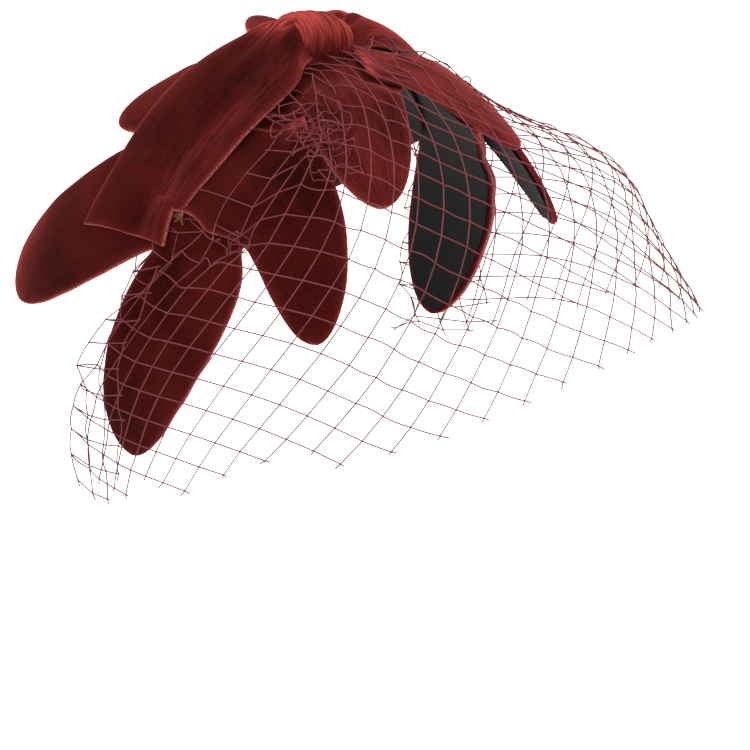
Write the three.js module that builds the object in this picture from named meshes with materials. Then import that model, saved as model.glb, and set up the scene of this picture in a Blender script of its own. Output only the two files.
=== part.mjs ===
// Half hat: ten velvet leaves, a velvet bow and a net veil, held in the form it has when worn.
// Millimetres, +Z up. The origin is where it sits on the top of the head, the front is towards -Y and the
// wearer's right towards -X.
import * as THREE from "three";

const { clamp, degToRad, lerp, smoothstep } = THREE.MathUtils;

// Driving sizes
const HEAD = { halfWidth: 72, halfLength: 93, height: 92 }; // half an ellipsoid, its top at the origin
const GAP = 0.3; // between the cloths of one leaf
const LAYER_GAP = 0.4; // between one leaf and the next
const BAND_WALL = 1.2;
const LINING_WALL = 1;
const VELVET_WALL = 1;
const NET_WALL = 1;

// A place on the head is a polar angle from the top and an azimuth from the front, or a spot on the map of
// the head, aside to the wearer's right and ahead to the front. All are in degrees. A lift is a distance off
// the head.

// Leaves. A layer counts the leaves below, and a leaf rises from its root's layer to its tip's over a share
// of its length. It is widest at belly, bend is the bow of its middle line in degrees, and tipLift is how far
// the tip stands up.
const LEAVES = [
  {
    name: "front_right", rootPolar: 12.5, rootAzimuth: 16, tipPolar: 49, tipAzimuth: 33, halfWidth: 16.5,
    belly: 0.52, bend: 0, rootLayer: 0, tipLayer: 2, riseFrom: 0.12, riseTo: 0.44, tipLift: 0,
  },
  {
    name: "front_left", rootPolar: 14.5, rootAzimuth: -22, tipPolar: 48, tipAzimuth: -29, halfWidth: 16.5,
    belly: 0.52, bend: 0, rootLayer: 1, tipLayer: 3, riseFrom: 0.03, riseTo: 0.44, tipLift: 0,
  },
  {
    name: "temple_right", rootPolar: 29, rootAzimuth: 70, tipPolar: 72.5, tipAzimuth: 50, halfWidth: 15,
    belly: 0.58, bend: 0, rootLayer: 1, tipLayer: 1, riseFrom: 0, riseTo: 1, tipLift: 0,
  },
  {
    name: "temple_left", rootPolar: 29, rootAzimuth: -70, tipPolar: 69, tipAzimuth: -50, halfWidth: 15,
    belly: 0.58, bend: 0, rootLayer: 1, tipLayer: 1, riseFrom: 0, riseTo: 1, tipLift: 0,
  },
  {
    name: "side_right", rootPolar: 43, rootAzimuth: 63.5, tipPolar: 98, tipAzimuth: 91, halfWidth: 17,
    belly: 0.52, bend: 0, rootLayer: 0, tipLayer: 0, riseFrom: 0, riseTo: 1, tipLift: 0,
  },
  {
    name: "side_left", rootPolar: 43, rootAzimuth: -63.5, tipPolar: 97, tipAzimuth: -90, halfWidth: 17,
    belly: 0.52, bend: 0, rootLayer: 0, tipLayer: 0, riseFrom: 0, riseTo: 1, tipLift: 0,
  },
  {
    name: "back_right", rootPolar: 46, rootAzimuth: 93, tipPolar: 78.5, tipAzimuth: 130, halfWidth: 17,
    belly: 0.4, bend: -3, rootLayer: 0, tipLayer: 0, riseFrom: 0, riseTo: 1, tipLift: 0,
  },
  {
    name: "back_left", rootPolar: 46, rootAzimuth: -93, tipPolar: 78, tipAzimuth: -127, halfWidth: 17,
    belly: 0.4, bend: 3, rootLayer: 0, tipLayer: 0, riseFrom: 0, riseTo: 1, tipLift: 0,
  },
  {
    name: "crown_right", rootPolar: 8, rootAzimuth: 112, tipPolar: 39.5, tipAzimuth: 113, halfWidth: 12,
    belly: 0.5, bend: 0, rootLayer: 0, tipLayer: 0, riseFrom: 0, riseTo: 1, tipLift: 2,
  },
  {
    name: "crown_left", rootPolar: 8, rootAzimuth: -112, tipPolar: 34, tipAzimuth: -131, halfWidth: 12,
    belly: 0.5, bend: 0, rootLayer: 0, tipLayer: 0, riseFrom: 0, riseTo: 1, tipLift: 11,
  },
];
const ROOT_SHARE = 0.7; // a leaf's width at its root, as a share of its widest
const TIP_HALF_WIDTH = 1.5;
const LINING_INSET = 0.6; // the velvet stands proud of its lining all round

// Layers of leaves, each a lining with velvet on it, stacked from the base band outwards
const LAYER_BASE = BAND_WALL + LAYER_GAP;
const LAYER_PITCH = LINING_WALL + GAP + VELVET_WALL + LAYER_GAP;

// Base band and ribbon, ear to ear from the right to the left. A row is a station of the middle line with
// its half-widths to the front and back, the lift of its underside and its thickness. skew pushes the back
// edge on along the strip and draws the front edge back, and puff raises the cloth between its edges.
const BAND = [
  { aside: 54, ahead: 1, front: 8, back: 8, lift: 0, wall: BAND_WALL, skew: 0, puff: 0 },
  { aside: 30, ahead: 4, front: 14, back: 12, lift: 0, wall: BAND_WALL, skew: 0, puff: 0 },
  { aside: 0, ahead: 4, front: 20, back: 14, lift: 0, wall: BAND_WALL, skew: 0, puff: 0 },
  { aside: -30, ahead: 4, front: 14, back: 12, lift: 0, wall: BAND_WALL, skew: 0, puff: 0 },
  { aside: -54, ahead: 1, front: 8, back: 8, lift: 0, wall: BAND_WALL, skew: 0, puff: 0 },
];
const RIBBON = [
  { aside: 58.5, ahead: -5.5, front: 12.5, back: 14.5, lift: 4.8, wall: 2.2, skew: 5, puff: 0.6 },
  { aside: 51, ahead: -3.5, front: 11.5, back: 15.5, lift: 5.2, wall: 2.2, skew: 2, puff: 1 },
  { aside: 47.5, ahead: -2.5, front: 15.5, back: 16, lift: 5.6, wall: 2.2, skew: 1, puff: 1.5 },
  { aside: 38, ahead: 0, front: 17.5, back: 17, lift: 6.6, wall: 2.2, skew: 0, puff: 2.4 },
  { aside: 26, ahead: 3.5, front: 17, back: 16.5, lift: 8.2, wall: 2.2, skew: 0, puff: 3.6 },
  { aside: 17, ahead: 5.6, front: 13, back: 13.5, lift: 8.2, wall: 2.2, skew: 0, puff: 5.4 },
  { aside: 12.5, ahead: 6.4, front: 8.6, back: 9, lift: 7, wall: 2.2, skew: 0, puff: 6.8 },
  { aside: 9.5, ahead: 6.8, front: 4.7, back: 4.8, lift: 6, wall: 2.2, skew: 0, puff: 7.1 },
  { aside: 4, ahead: 6.9, front: 4.8, back: 4.8, lift: 5.5, wall: 2.2, skew: 0, puff: 7.5 },
  { aside: -4, ahead: 6.9, front: 4.8, back: 4.8, lift: 5.5, wall: 2.2, skew: 0, puff: 7.5 },
  { aside: -9.5, ahead: 6.8, front: 4.7, back: 4.8, lift: 6, wall: 2.2, skew: 0, puff: 7.1 },
  { aside: -12.5, ahead: 6.4, front: 8.6, back: 9, lift: 7.8, wall: 2.2, skew: 0, puff: 6.8 },
  { aside: -17, ahead: 5.6, front: 13, back: 13.5, lift: 8.8, wall: 2.2, skew: 0, puff: 5.4 },
  { aside: -26, ahead: 3.5, front: 17, back: 16.5, lift: 9, wall: 2.2, skew: 0, puff: 3.6 },
  { aside: -38, ahead: 0, front: 17.5, back: 17, lift: 7.4, wall: 2.2, skew: 0, puff: 2.4 },
  { aside: -47.5, ahead: -2.5, front: 15.5, back: 16, lift: 5.6, wall: 2.2, skew: -1, puff: 1.5 },
  { aside: -58.5, ahead: -5.5, front: 14.5, back: 14.5, lift: 4.8, wall: 2.2, skew: -3, puff: 0.6 },
];

// Knot: a pleated sleeve round the middle of the ribbon
const KNOT = {
  middle: new THREE.Vector3(0, -12.4, 9.1),
  turn: -4, // degrees about Z, so that its front end lies to the right
  tip: 7, // degrees about X, so that its front end is lower
  halfWidth: 11.5,
  holeHalfDepth: 6.6, // front to back, inside
  holeHalfHeight: 6.3,
  sag: 1.1, // drop of its two rims over the curve of the head
  underWall: 1.1,
  overWall: 1.1,
  pleats: 4,
  pleatHeight: 1,
  pleatsFrom: -0.6, // the pleats fade in up its ends, between these sines of the angle round the ring
  pleatsTo: 0.4,
  squareness: 3, // of the hole, a rounded rectangle
};

// Veil: a row is one fold line of the net, from its sewn edge on the map of the head over a shoulder to its
// hem, which are a radius about the Z axis and a height. rise lifts it between the sewn edge and the
// shoulder. The left half mirrors the right.
const VEIL = [
  {
    azimuth: 0, sewnAside: 0, sewnAhead: 16.6, sewnLift: 9.8, rise: 6,
    shoulder: 105, shoulderZ: -31, hem: 131, hemZ: -65,
  },
  {
    azimuth: 38, sewnAside: 16, sewnAhead: 15.2, sewnLift: 10.4, rise: 6.7,
    shoulder: 105, shoulderZ: -38, hem: 129, hemZ: -81,
  },
  {
    azimuth: 70, sewnAside: 36, sewnAhead: 12.5, sewnLift: 7.4, rise: 3,
    shoulder: 95, shoulderZ: -62, hem: 106, hemZ: -99,
  },
  {
    azimuth: 91, sewnAside: 54, sewnAhead: 8, sewnLift: 6.2, rise: 2,
    shoulder: 83, shoulderZ: -80, hem: 87, hemZ: -113,
  },
  {
    azimuth: 104, sewnAside: 65, sewnAhead: -2, sewnLift: 5.8, rise: 1,
    shoulder: 82, shoulderZ: -84, hem: 85, hemZ: -111,
  },
];
const NET_COLUMNS = 16; // diamonds from end to end
const NET_ROWS = 8; // half diamonds from the sewn edge to the hem
const NET_BAR = 0.2; // half the width of a knot, as a share of half a diamond

// Facets across and along each kind of cloth
const FACETS = {
  leaf: [5, 12],
  lining: [4, 12],
  band: [4, 20],
  ribbon: [8, 44],
  knot: [24, 28],
};

const velvet = { color: 0x6e1a1c, roughness: 0.9, metalness: 0 };
const lining = { color: 0x161414, roughness: 0.85, metalness: 0 };
const net = { color: 0x7c3444, roughness: 0.7, metalness: 0 };

function mapSpot(polar, azimuth) {
  const p = degToRad(azimuth);
  return new THREE.Vector2(polar * Math.sin(p), polar * Math.cos(p));
}

// A point over the head from its spot on the map
function overHead(spot, lift) {
  const polar = degToRad(spot.length());
  const azimuth = Math.atan2(spot.x, spot.y);
  return new THREE.Vector3(
    -(HEAD.halfWidth + lift) * Math.sin(polar) * Math.sin(azimuth),
    -(HEAD.halfLength + lift) * Math.sin(polar) * Math.cos(azimuth),
    (HEAD.height + lift) * Math.cos(polar) - HEAD.height,
  );
}

// A point moved on its line through the middle of the head, to a given lift
function toLift(point, lift) {
  const axes = new THREE.Vector3(HEAD.halfWidth, HEAD.halfLength, HEAD.height).addScalar(lift);
  const middle = new THREE.Vector3(0, 0, -HEAD.height);
  return point.clone().sub(middle).divide(axes).normalize().multiply(axes).add(middle);
}

function headNormal(point) {
  return new THREE.Vector3(
    point.x / HEAD.halfWidth ** 2,
    point.y / HEAD.halfLength ** 2,
    (point.z + HEAD.height) / HEAD.height ** 2,
  ).normalize();
}

// The point a distance to the side of a curve on the map, and a distance on along it, at a lift
function besideCurve(curve, t, aside, on, lift) {
  const step = 0.005;
  const at = (s) => overHead(curve.getPoint(clamp(s, 0, 1)), lift);
  const here = at(t);
  const run = at(t + step).sub(at(t - step)).normalize();
  const side = run.clone().cross(headNormal(here));
  return toLift(here.addScaledVector(side, aside).addScaledVector(run, on), lift);
}

function movePoints(geometry, place) {
  const points = geometry.attributes.position;
  const point = new THREE.Vector3();
  for (let i = 0; i < points.count; i += 1) {
    point.copy(place(point.fromBufferAttribute(points, i)));
    points.setXYZ(i, point.x, point.y, point.z);
  }
  return geometry;
}

// A flat blank of cloth bent into place: place(across -1..1, along 0..1, layer 0..1)
function bendBlank([across, along], place) {
  const blank = new THREE.BoxGeometry(2, 1, 1, across, along, 1).translate(0, 0.5, 0.5);
  return movePoints(blank, ({ x, y, z }) => place(x, y, z));
}

function leafSpine(leaf) {
  const root = mapSpot(leaf.rootPolar, leaf.rootAzimuth);
  const tip = mapSpot(leaf.tipPolar, leaf.tipAzimuth);
  const run = tip.clone().sub(root).normalize();
  const aside = new THREE.Vector2(run.y, -run.x).multiplyScalar(2 * leaf.bend);
  return new THREE.QuadraticBezierCurve(root, root.clone().lerp(tip, 0.5).add(aside), tip);
}

function leafHalfWidth(leaf, t) {
  const u = (t - leaf.belly) / (t < leaf.belly ? leaf.belly : 1 - leaf.belly);
  const end = t < leaf.belly ? ROOT_SHARE : 0;
  return leaf.halfWidth * lerp(end, 1, Math.sqrt(1 - u * u));
}

// The lift of a leaf's underside
function leafLift(leaf, t) {
  const layer = lerp(leaf.rootLayer, leaf.tipLayer, smoothstep(t, leaf.riseFrom, leaf.riseTo));
  return LAYER_BASE + layer * LAYER_PITCH + leaf.tipLift * t * t;
}

function leafCloth(leaf, facets, over, wall, inset) {
  const spine = leafSpine(leaf);
  return bendBlank(facets, (across, along, layer) => {
    const t = Math.sin((Math.PI / 2) * along);
    const half = Math.max(leafHalfWidth(leaf, t) - inset, TIP_HALF_WIDTH);
    return besideCurve(spine, t, across * half, 0, leafLift(leaf, t) + over + layer * wall);
  });
}

// A strip from ear to ear through rows of stations
function strip(rows, facets) {
  const spine = new THREE.SplineCurve(rows.map((row) => new THREE.Vector2(row.aside, row.ahead)));
  const column = (name) => {
    const curve = new THREE.SplineCurve(rows.map((row, i) => new THREE.Vector2(i, row[name])));
    return (t) => curve.getPoint(t).y;
  };
  const [front, back, lift, wall, skew, puff] = ["front", "back", "lift", "wall", "skew", "puff"].map(column);
  return bendBlank(facets, (across, t, layer) => {
    const aside = across * (across > 0 ? front(t) : back(t));
    const raised = lift(t) + puff(t) * (1 - across * across) + layer * wall(t);
    return besideCurve(spine, t, aside, across * skew(t), raised);
  });
}

// The knot's ring lies about X and is then turned. Its section is flat inside and pleated outside.
function knotSleeve([around, along]) {
  const ringRadius = 2;
  const ring = new THREE.TorusGeometry(ringRadius, 1, around, along);
  const rounded = (value) => Math.sign(value) * Math.abs(value) ** (2 / KNOT.squareness);
  const place = ({ x, y, z }) => {
    const turn = Math.atan2(y, x);
    const section = Math.atan2(z, Math.hypot(x, y) - ringRadius);
    const outward = new THREE.Vector3(0, Math.cos(turn), Math.sin(turn));
    const hole = new THREE.Vector3(
      0,
      KNOT.holeHalfDepth * rounded(outward.y),
      KNOT.holeHalfHeight * rounded(outward.z),
    );
    const across = rounded(Math.sin(section));
    const over = smoothstep(outward.z, KNOT.pleatsFrom, KNOT.pleatsTo);
    const pleat = Math.abs(Math.cos((Math.PI / 2) * KNOT.pleats * across)) * KNOT.pleatHeight * over;
    const rim = Math.sqrt(Math.max(Math.cos(section), 0));
    const wall = (lerp(KNOT.underWall, KNOT.overWall, over) + pleat) * rim;
    const drop = new THREE.Vector3(across * KNOT.halfWidth, 0, -KNOT.sag * across * across);
    return hole.addScaledVector(outward, wall).add(drop);
  };
  return movePoints(ring, place)
    .rotateX(degToRad(KNOT.tip))
    .rotateZ(degToRad(KNOT.turn))
    .translate(...KNOT.middle);
}

// The net's surface: share 0..1 from the left end to the right, fall 0..1 from the sewn edge to the hem
function veilSurface() {
  const mirrored = VEIL.slice(1).reverse().map((row) => (
    { ...row, azimuth: -row.azimuth, sewnAside: -row.sewnAside }
  ));
  const rows = [...mirrored, ...VEIL];
  const ringSpot = (azimuth, radius, z) => new THREE.Vector3(
    -radius * Math.sin(degToRad(azimuth)),
    -radius * Math.cos(degToRad(azimuth)),
    z,
  );
  const sewn = new THREE.CatmullRomCurve3(rows.map((row) => (
    overHead(new THREE.Vector2(row.sewnAside, row.sewnAhead), row.sewnLift)
  )));
  const shoulder = new THREE.CatmullRomCurve3(rows.map((row) => (
    ringSpot(row.azimuth, row.shoulder, row.shoulderZ)
  )));
  const hem = new THREE.CatmullRomCurve3(rows.map((row) => ringSpot(row.azimuth, row.hem, row.hemZ)));
  const rise = new THREE.SplineCurve(rows.map((row, i) => new THREE.Vector2(i, row.rise)));
  return (share, fall) => {
    const t = hem.getUtoTmapping(clamp(share, 0, 1));
    const top = sewn.getPoint(t);
    const bend = shoulder.getPoint(t);
    const end = hem.getPoint(t);
    const brow = top.clone().lerp(bend, 0.5);
    brow.addScaledVector(headNormal(brow), rise.getPoint(t).y);
    const line = new THREE.CatmullRomCurve3([top, brow, bend, bend.clone().lerp(end, 0.5), end]);
    return line.getPointAt(clamp(fall, 0, 1));
  };
}

// The flat net as four-cornered faces, one unit for half a diamond: a face for each knot, and one for each
// strand from a knot to the two knots below it
function flatNet() {
  const right = 2 * NET_COLUMNS;
  const corners = new Map();
  const corner = (x, y) => {
    const key = `${x.toFixed(2)} ${y.toFixed(2)}`;
    if (!corners.has(key)) {
      corners.set(key, { x, y, index: corners.size });
    }
    return corners.get(key).index;
  };
  const above = (i, j) => corner(i, j - NET_BAR);
  const below = (i, j) => corner(i, j + NET_BAR);
  const before = (i, j) => corner(i - NET_BAR, j);
  const after = (i, j) => corner(i + NET_BAR, j);
  const faces = [];
  for (let j = 0; j <= NET_ROWS; j += 1) {
    for (let i = 1 - (j % 2); i <= right; i += 2) {
      faces.push([before(i, j), above(i, j), after(i, j), below(i, j)]);
      if (j < NET_ROWS && i < right) {
        faces.push([below(i, j), after(i, j), above(i + 1, j + 1), before(i + 1, j + 1)]);
      }
      if (j < NET_ROWS && i > 0) {
        faces.push([before(i, j), below(i, j), after(i - 1, j + 1), above(i - 1, j + 1)]);
      }
    }
  }
  return { corners: [...corners.values()], faces };
}

// A closed wall from flat faces: each face outside and inside, and a rim along each edge of one face only
function wallFromFaces({ corners, faces }, place) {
  const outside = corners.map(({ x, y }) => place(x, y, 1));
  const inside = corners.map(({ x, y }) => place(x, y, 0));
  const shift = corners.length;
  const quads = [];
  const edges = new Map();
  for (const face of faces) {
    quads.push(face, face.map((corner) => corner + shift).reverse());
    face.forEach((from, k) => {
      const to = face[(k + 1) % face.length];
      edges.set(`${from} ${to}`, [from, to]);
    });
  }
  for (const [from, to] of edges.values()) {
    if (!edges.has(`${to} ${from}`)) {
      quads.push([to, from, from + shift, to + shift]);
    }
  }
  const wall = new THREE.BufferGeometry().setFromPoints([...outside, ...inside]);
  return wall.setIndex(quads.flatMap(([a, b, c, d]) => [a, b, c, a, c, d]));
}

function veilNet() {
  const surface = veilSurface();
  const step = 0.004;
  return wallFromFaces(flatNet(), (x, y, layer) => {
    const share = (x + NET_BAR) / (2 * NET_COLUMNS + 2 * NET_BAR);
    const fall = (y + NET_BAR) / (NET_ROWS + 2 * NET_BAR);
    const here = surface(share, fall);
    const along = surface(share + step, fall).sub(surface(share - step, fall));
    const down = surface(share, fall + step).sub(surface(share, fall - step));
    return here.addScaledVector(along.cross(down).normalize(), layer * NET_WALL);
  });
}

function piece(name, geometry, finish) {
  const mesh = new THREE.Mesh(geometry, new THREE.MeshStandardMaterial(finish));
  mesh.name = name;
  return mesh;
}

const hat = new THREE.Group();
hat.add(piece("base_band", strip(BAND, FACETS.band), lining));
for (const leaf of LEAVES) {
  const cloth = leafCloth(leaf, FACETS.leaf, LINING_WALL + GAP, VELVET_WALL, 0);
  const under = leafCloth(leaf, FACETS.lining, 0, LINING_WALL, LINING_INSET);
  hat.add(piece(`leaf_${leaf.name}`, cloth, velvet));
  hat.add(piece(`lining_${leaf.name}`, under, lining));
}
hat.add(piece("bow_ribbon", strip(RIBBON, FACETS.ribbon), velvet));
hat.add(piece("bow_knot", knotSleeve(FACETS.knot), velvet));
hat.add(piece("veil", veilNet(), net));

export default hat;
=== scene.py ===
import math
import random

import bmesh
import bpy
import numpy as np
from mathutils import Matrix, Vector, noise


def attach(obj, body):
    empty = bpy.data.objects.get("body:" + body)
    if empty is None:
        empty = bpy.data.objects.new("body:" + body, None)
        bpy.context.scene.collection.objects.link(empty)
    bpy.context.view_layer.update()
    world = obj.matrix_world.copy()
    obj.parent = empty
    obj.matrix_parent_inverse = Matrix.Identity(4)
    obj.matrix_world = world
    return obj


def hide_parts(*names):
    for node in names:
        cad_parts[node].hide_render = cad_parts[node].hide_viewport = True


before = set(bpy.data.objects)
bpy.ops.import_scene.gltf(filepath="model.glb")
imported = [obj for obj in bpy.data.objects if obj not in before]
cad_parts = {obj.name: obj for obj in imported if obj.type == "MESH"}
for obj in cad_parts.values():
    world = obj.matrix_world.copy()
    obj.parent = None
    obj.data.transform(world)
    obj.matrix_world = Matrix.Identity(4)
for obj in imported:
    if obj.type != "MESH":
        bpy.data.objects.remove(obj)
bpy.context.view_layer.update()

mm = 0.001
scene = bpy.context.scene
print("frame loaded:", len(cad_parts), "nodes")


# camera at the photo's angle, the part held up over a pale floor

shot = {
    "turn": 52.0,  # degrees round to the wearer's right
    "height": 21.5,  # degrees above level
    "pixelsPerMm": 3.17,
    "distance": 1400.0,
    "imageSide": 750.0,
    "domeMiddle": (0.0, 0.0, -92.0),
    "domePixel": (286.0, 338.0),
    "sensor": 36.0,
    "clipEnd": 50.0,
}


def setCamera():
    turn, height = math.radians(shot["turn"]), math.radians(shot["height"])
    back = Vector((
        -math.sin(turn) * math.cos(height), -math.cos(turn) * math.cos(height), math.sin(height),
    ))
    right = Vector((math.cos(turn), -math.sin(turn), 0))
    up = back.cross(right)
    half = shot["imageSide"] / 2
    target = Vector(shot["domeMiddle"])
    target += right * ((half - shot["domePixel"][0]) / shot["pixelsPerMm"])
    target += up * ((shot["domePixel"][1] - half) / shot["pixelsPerMm"])
    data = bpy.data.cameras.new("photoCamera")
    data.sensor_width = shot["sensor"]
    data.lens = shot["sensor"] * shot["pixelsPerMm"] * shot["distance"] / shot["imageSide"]
    data.clip_end = shot["clipEnd"]
    camera = placeObject("photoCamera", data)
    spot = (target + back * shot["distance"]) * mm
    camera.matrix_world = Matrix.Translation(spot) @ Matrix((right, up, back)).transposed().to_4x4()
    scene.camera = camera
    return right, back


studio = {
    "aim": (0, -0.02, -0.05),  # the middle of the hat
    "floorDrop": 0.36,
    "floorSide": 14.0,
    "floor": {"Base Color": (0.93, 0.93, 0.93, 1), "Roughness": 0.9},
    "skyStrength": 0.75,
    # name, metres right, up and towards the camera from the hat, size, watts
    "lamps": [
        ("keyLamp", -0.9, 1.5, 1.3, 1.1, 28),
        ("frontLamp", 1.3, 0.8, 1.0, 1.2, 16),
        ("topLamp", 0.0, 2.0, -0.9, 1.6, 60),
    ],
}


def addLamp(name, spot, size, watts, target):
    data = bpy.data.lights.new(name, "AREA")
    data.shape = "DISK"
    data.size = size
    data.energy = watts
    lamp = placeObject(name, data)
    lamp.location = spot
    lamp.rotation_euler = (target - spot).to_track_quat("-Z", "Y").to_euler()


def setStudio(right, back):
    scene.view_settings.view_transform = "Standard"
    world = bpy.data.worlds.new("studioSky")
    world.use_nodes = True
    world.node_tree.nodes["Background"].inputs["Color"].default_value = (1, 1, 1, 1)
    world.node_tree.nodes["Background"].inputs["Strength"].default_value = studio["skyStrength"]
    scene.world = world
    aim = Vector(studio["aim"])
    level = Vector((back.x, back.y, 0)).normalized()
    for name, aside, above, towards, size, watts in studio["lamps"]:
        spot = aim + right * aside + Vector((0, 0, above)) + level * towards
        addLamp(name, spot, size, watts, aim)
    bm = bmesh.new()
    bmesh.ops.create_grid(bm, x_segments=1, y_segments=1, size=studio["floorSide"] / 2)
    bmesh.ops.translate(bm, verts=bm.verts, vec=(0, 0, -studio["floorDrop"]))
    floor = meshObject("floor", bm)
    floor.data.materials.append(newMaterial("paleFloor", studio["floor"])[0])


def placeObject(name, data):
    piece = bpy.data.objects.new(name, data)
    scene.collection.objects.link(piece)
    return piece


def meshObject(name, bm):
    mesh = bpy.data.meshes.new(name)
    bm.to_mesh(mesh)
    bm.free()
    return placeObject(name, mesh)


# places over a dome inside the hat, in millimetres
# a spot is degrees aside to the wearer's right and ahead to the front, and a lift is a height over the dome

domeForm = (72.0, 93.0, 92.0)  # half an ellipsoid, top at the origin: half-width, half-length, height


def overDome(spot, lift):
    a, b, c = (half + lift for half in domeForm)
    polar = math.radians(math.hypot(*spot))
    turn = math.atan2(*spot)
    return Vector((
        -a * math.sin(polar) * math.sin(turn),
        -b * math.sin(polar) * math.cos(turn),
        c * math.cos(polar) - domeForm[2],
    ))


def domeNormal(point):
    a, b, c = domeForm
    return Vector((point.x / a ** 2, point.y / b ** 2, (point.z + c) / c ** 2)).normalized()


def toLift(point, lift):
    a, b, c = (half + lift for half in domeForm)
    ray = Vector((point.x / a, point.y / b, (point.z + domeForm[2]) / c)).normalized()
    return Vector((ray.x * a, ray.y * b, ray.z * c - domeForm[2]))


def besideCurve(curve, t, aside, along, lift):
    step = 0.005
    here = overDome(curve(t), lift)
    run = (overDome(curve(t + step), lift) - overDome(curve(t - step), lift)).normalized()
    side = run.cross(domeNormal(here))
    return toLift(here + side * aside + run * along, lift)


def ease(value, low, high):
    t = min(max((value - low) / (high - low), 0), 1)
    return t * t * (3 - 2 * t)


def bell(value, middle, reach):
    return math.exp(-((value - middle) / reach) ** 2)


def blendTo(a, b, t):
    return a + (b - a) * t


def segment(values, t):
    place = min(max(t, 0), 1) * (len(values) - 1)
    i = min(int(place), len(values) - 2)
    return i, place - i


def hermite(p1, p2, v1, v2, w):
    return ((2 * p1 - 2 * p2 + v1 + v2) * w + (-3 * p1 + 3 * p2 - 2 * v1 - v2)) * w * w + v1 * w + p1


def evenSpline(values):
    def at(t):
        i, w = segment(values, t)
        p0, p1, p2 = values[max(i - 1, 0)], values[i], values[i + 1]
        p3 = values[min(i + 2, len(values) - 1)]
        return hermite(p1, p2, (p2 - p0) / 2, (p3 - p1) / 2, w)
    return at


def tableSplines(rows):
    return [evenSpline(column) for column in zip(*rows)]


def spotLine(aside, ahead):
    def at(t):
        return Vector((aside(t), ahead(t)))
    return at


rippleShift = (3.7, 1.3, 2.9)  # from one seed's pattern to the next


def ripple(point, size, seed):
    return noise.noise(Vector(point) / size + Vector([seed * k for k in rippleShift]))


# cloth from a grid that is bent into place; rim is 1 along a turned edge, crush is brushed pile with a
# painted sheen highlight

# the rim carries a painted sheen highlight and a pale worn edge
rimFade = 0.9  # how far in from its edge a cloth's rim shows


def bentCloth(name, facets, place, uvSize, rimOf=None, crushAndSheenOf=None):
    bm = bmesh.new()
    bmesh.ops.create_grid(bm, x_segments=facets[0], y_segments=facets[1], size=1)
    uv = bm.loops.layers.uv.new("cloth")
    rim = bm.verts.layers.float.new("rim")
    # the crush layer marks brushed pile and where a painted sheen highlight goes
    crushAndSheen = bm.verts.layers.float.new("crushAndSheen")
    for face in bm.faces:
        for loop in face.loops:
            loop[uv].uv = (loop.vert.co.x * uvSize[0] / 2, (loop.vert.co.y + 1) * uvSize[1] / 2)
    for vert in bm.verts:
        across, along = vert.co.x, (vert.co.y + 1) / 2
        vert[rim] = rimOf(across, along) if rimOf else 0.0
        vert[crushAndSheen] = crushAndSheenOf(across, along) if crushAndSheenOf else 0.0
        vert.co = place(across, along) * mm
    return meshObject(name, bm)


def cloth(piece, flat, wall):
    # the cut's own area, before the piece is made thick
    solid = piece.modifiers.new("wall", "SOLIDIFY")
    solid.thickness = wall * mm
    solid.offset = 0.0
    solid.use_even_offset = True
    soft = piece.modifiers.new("soft", "SUBSURF")
    soft.levels = 1
    soft.render_levels = 1
    for polygon in piece.data.polygons:
        polygon.use_smooth = True


def wear(piece, material, slot, *nodes):
    piece.data.materials.clear()
    piece.data.materials.append(material)
    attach(piece, "root")
    if nodes:
        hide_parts(*nodes)


# finishes


def addNode(tree, kind, **values):
    node = tree.nodes.new(kind)
    for name, value in values.items():
        if name in node.inputs:
            node.inputs[name].default_value = value
        else:
            setattr(node, name, value)
    return node


def feed(tree, socket, source):
    if hasattr(source, "is_linked"):
        tree.links.new(source, socket)
    else:
        socket.default_value = source


def mixColour(tree, factor, first, second):
    node = addNode(tree, "ShaderNodeMix", data_type="RGBA")
    for place, source in ((0, factor), (6, first), (7, second)):
        feed(tree, node.inputs[place], source)
    return node.outputs[2]


def mathNode(tree, operation, first, second, clamp=False):
    node = addNode(tree, "ShaderNodeMath", operation=operation, use_clamp=clamp)
    feed(tree, node.inputs[0], first)
    feed(tree, node.inputs[1], second)
    return node.outputs[0]


def noiseMarks(tree, place, stretch=None, **settings):
    if stretch:
        mapping = addNode(tree, "ShaderNodeMapping", Scale=stretch)
        tree.links.new(place, mapping.inputs["Vector"])
        place = mapping.outputs[0]
    node = addNode(tree, "ShaderNodeTexNoise", **settings)
    tree.links.new(place, node.inputs["Vector"])
    return node.outputs[0]


def addBump(tree, shader, height, settings):
    bump = addNode(tree, "ShaderNodeBump", **settings)
    tree.links.new(height, bump.inputs["Height"])
    tree.links.new(bump.outputs[0], shader.inputs["Normal"])


def newMaterial(name, settings):
    material = bpy.data.materials.new(name)
    material.use_nodes = True
    shader = material.node_tree.nodes["Principled BSDF"]
    for socket, value in settings.items():
        shader.inputs[socket].default_value = value
    return material, material.node_tree, shader


pileMarks = {
    "brush": {"stretch": (240, 45, 1), "Scale": 1, "Detail": 3, "Roughness": 0.6, "Distortion": 0.6},
    "crease": {"stretch": (900, 70, 1), "Scale": 1, "Detail": 2, "Distortion": 0.8},
    "lay": {"Scale": 38, "Detail": 3, "Roughness": 0.55, "Distortion": 0.6},
    "tuft": {"Scale": 1700, "Detail": 2, "Roughness": 0.7},
    "shares": (0.25, 0.7, 0.5),  # of brush, lay and tuft in the colour
    "spread": {"From Min": 0.54, "From Max": 0.94},  # deep pile up to the first, raised pile from the second
    # what is taken off a pattern, and how much stronger the rest is made
    "laid": (0.2, 1.6),
    "creased": (0.33, 3.0),
    "frayed": (0.3, 2.2),
    "laidTufts": 0.6,
    "creaseShare": 1.15,
    "creaseLeast": 0.25,
    # painted highlight along a rim, where the pile would be seen edge-on
    "rimHighlight": 0.8,
    # a pale worn edge that is partly wear and partly a painted sheen highlight
    "wornAndSheenPower": 4,
    "brushHeight": 0.4,
}


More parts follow.
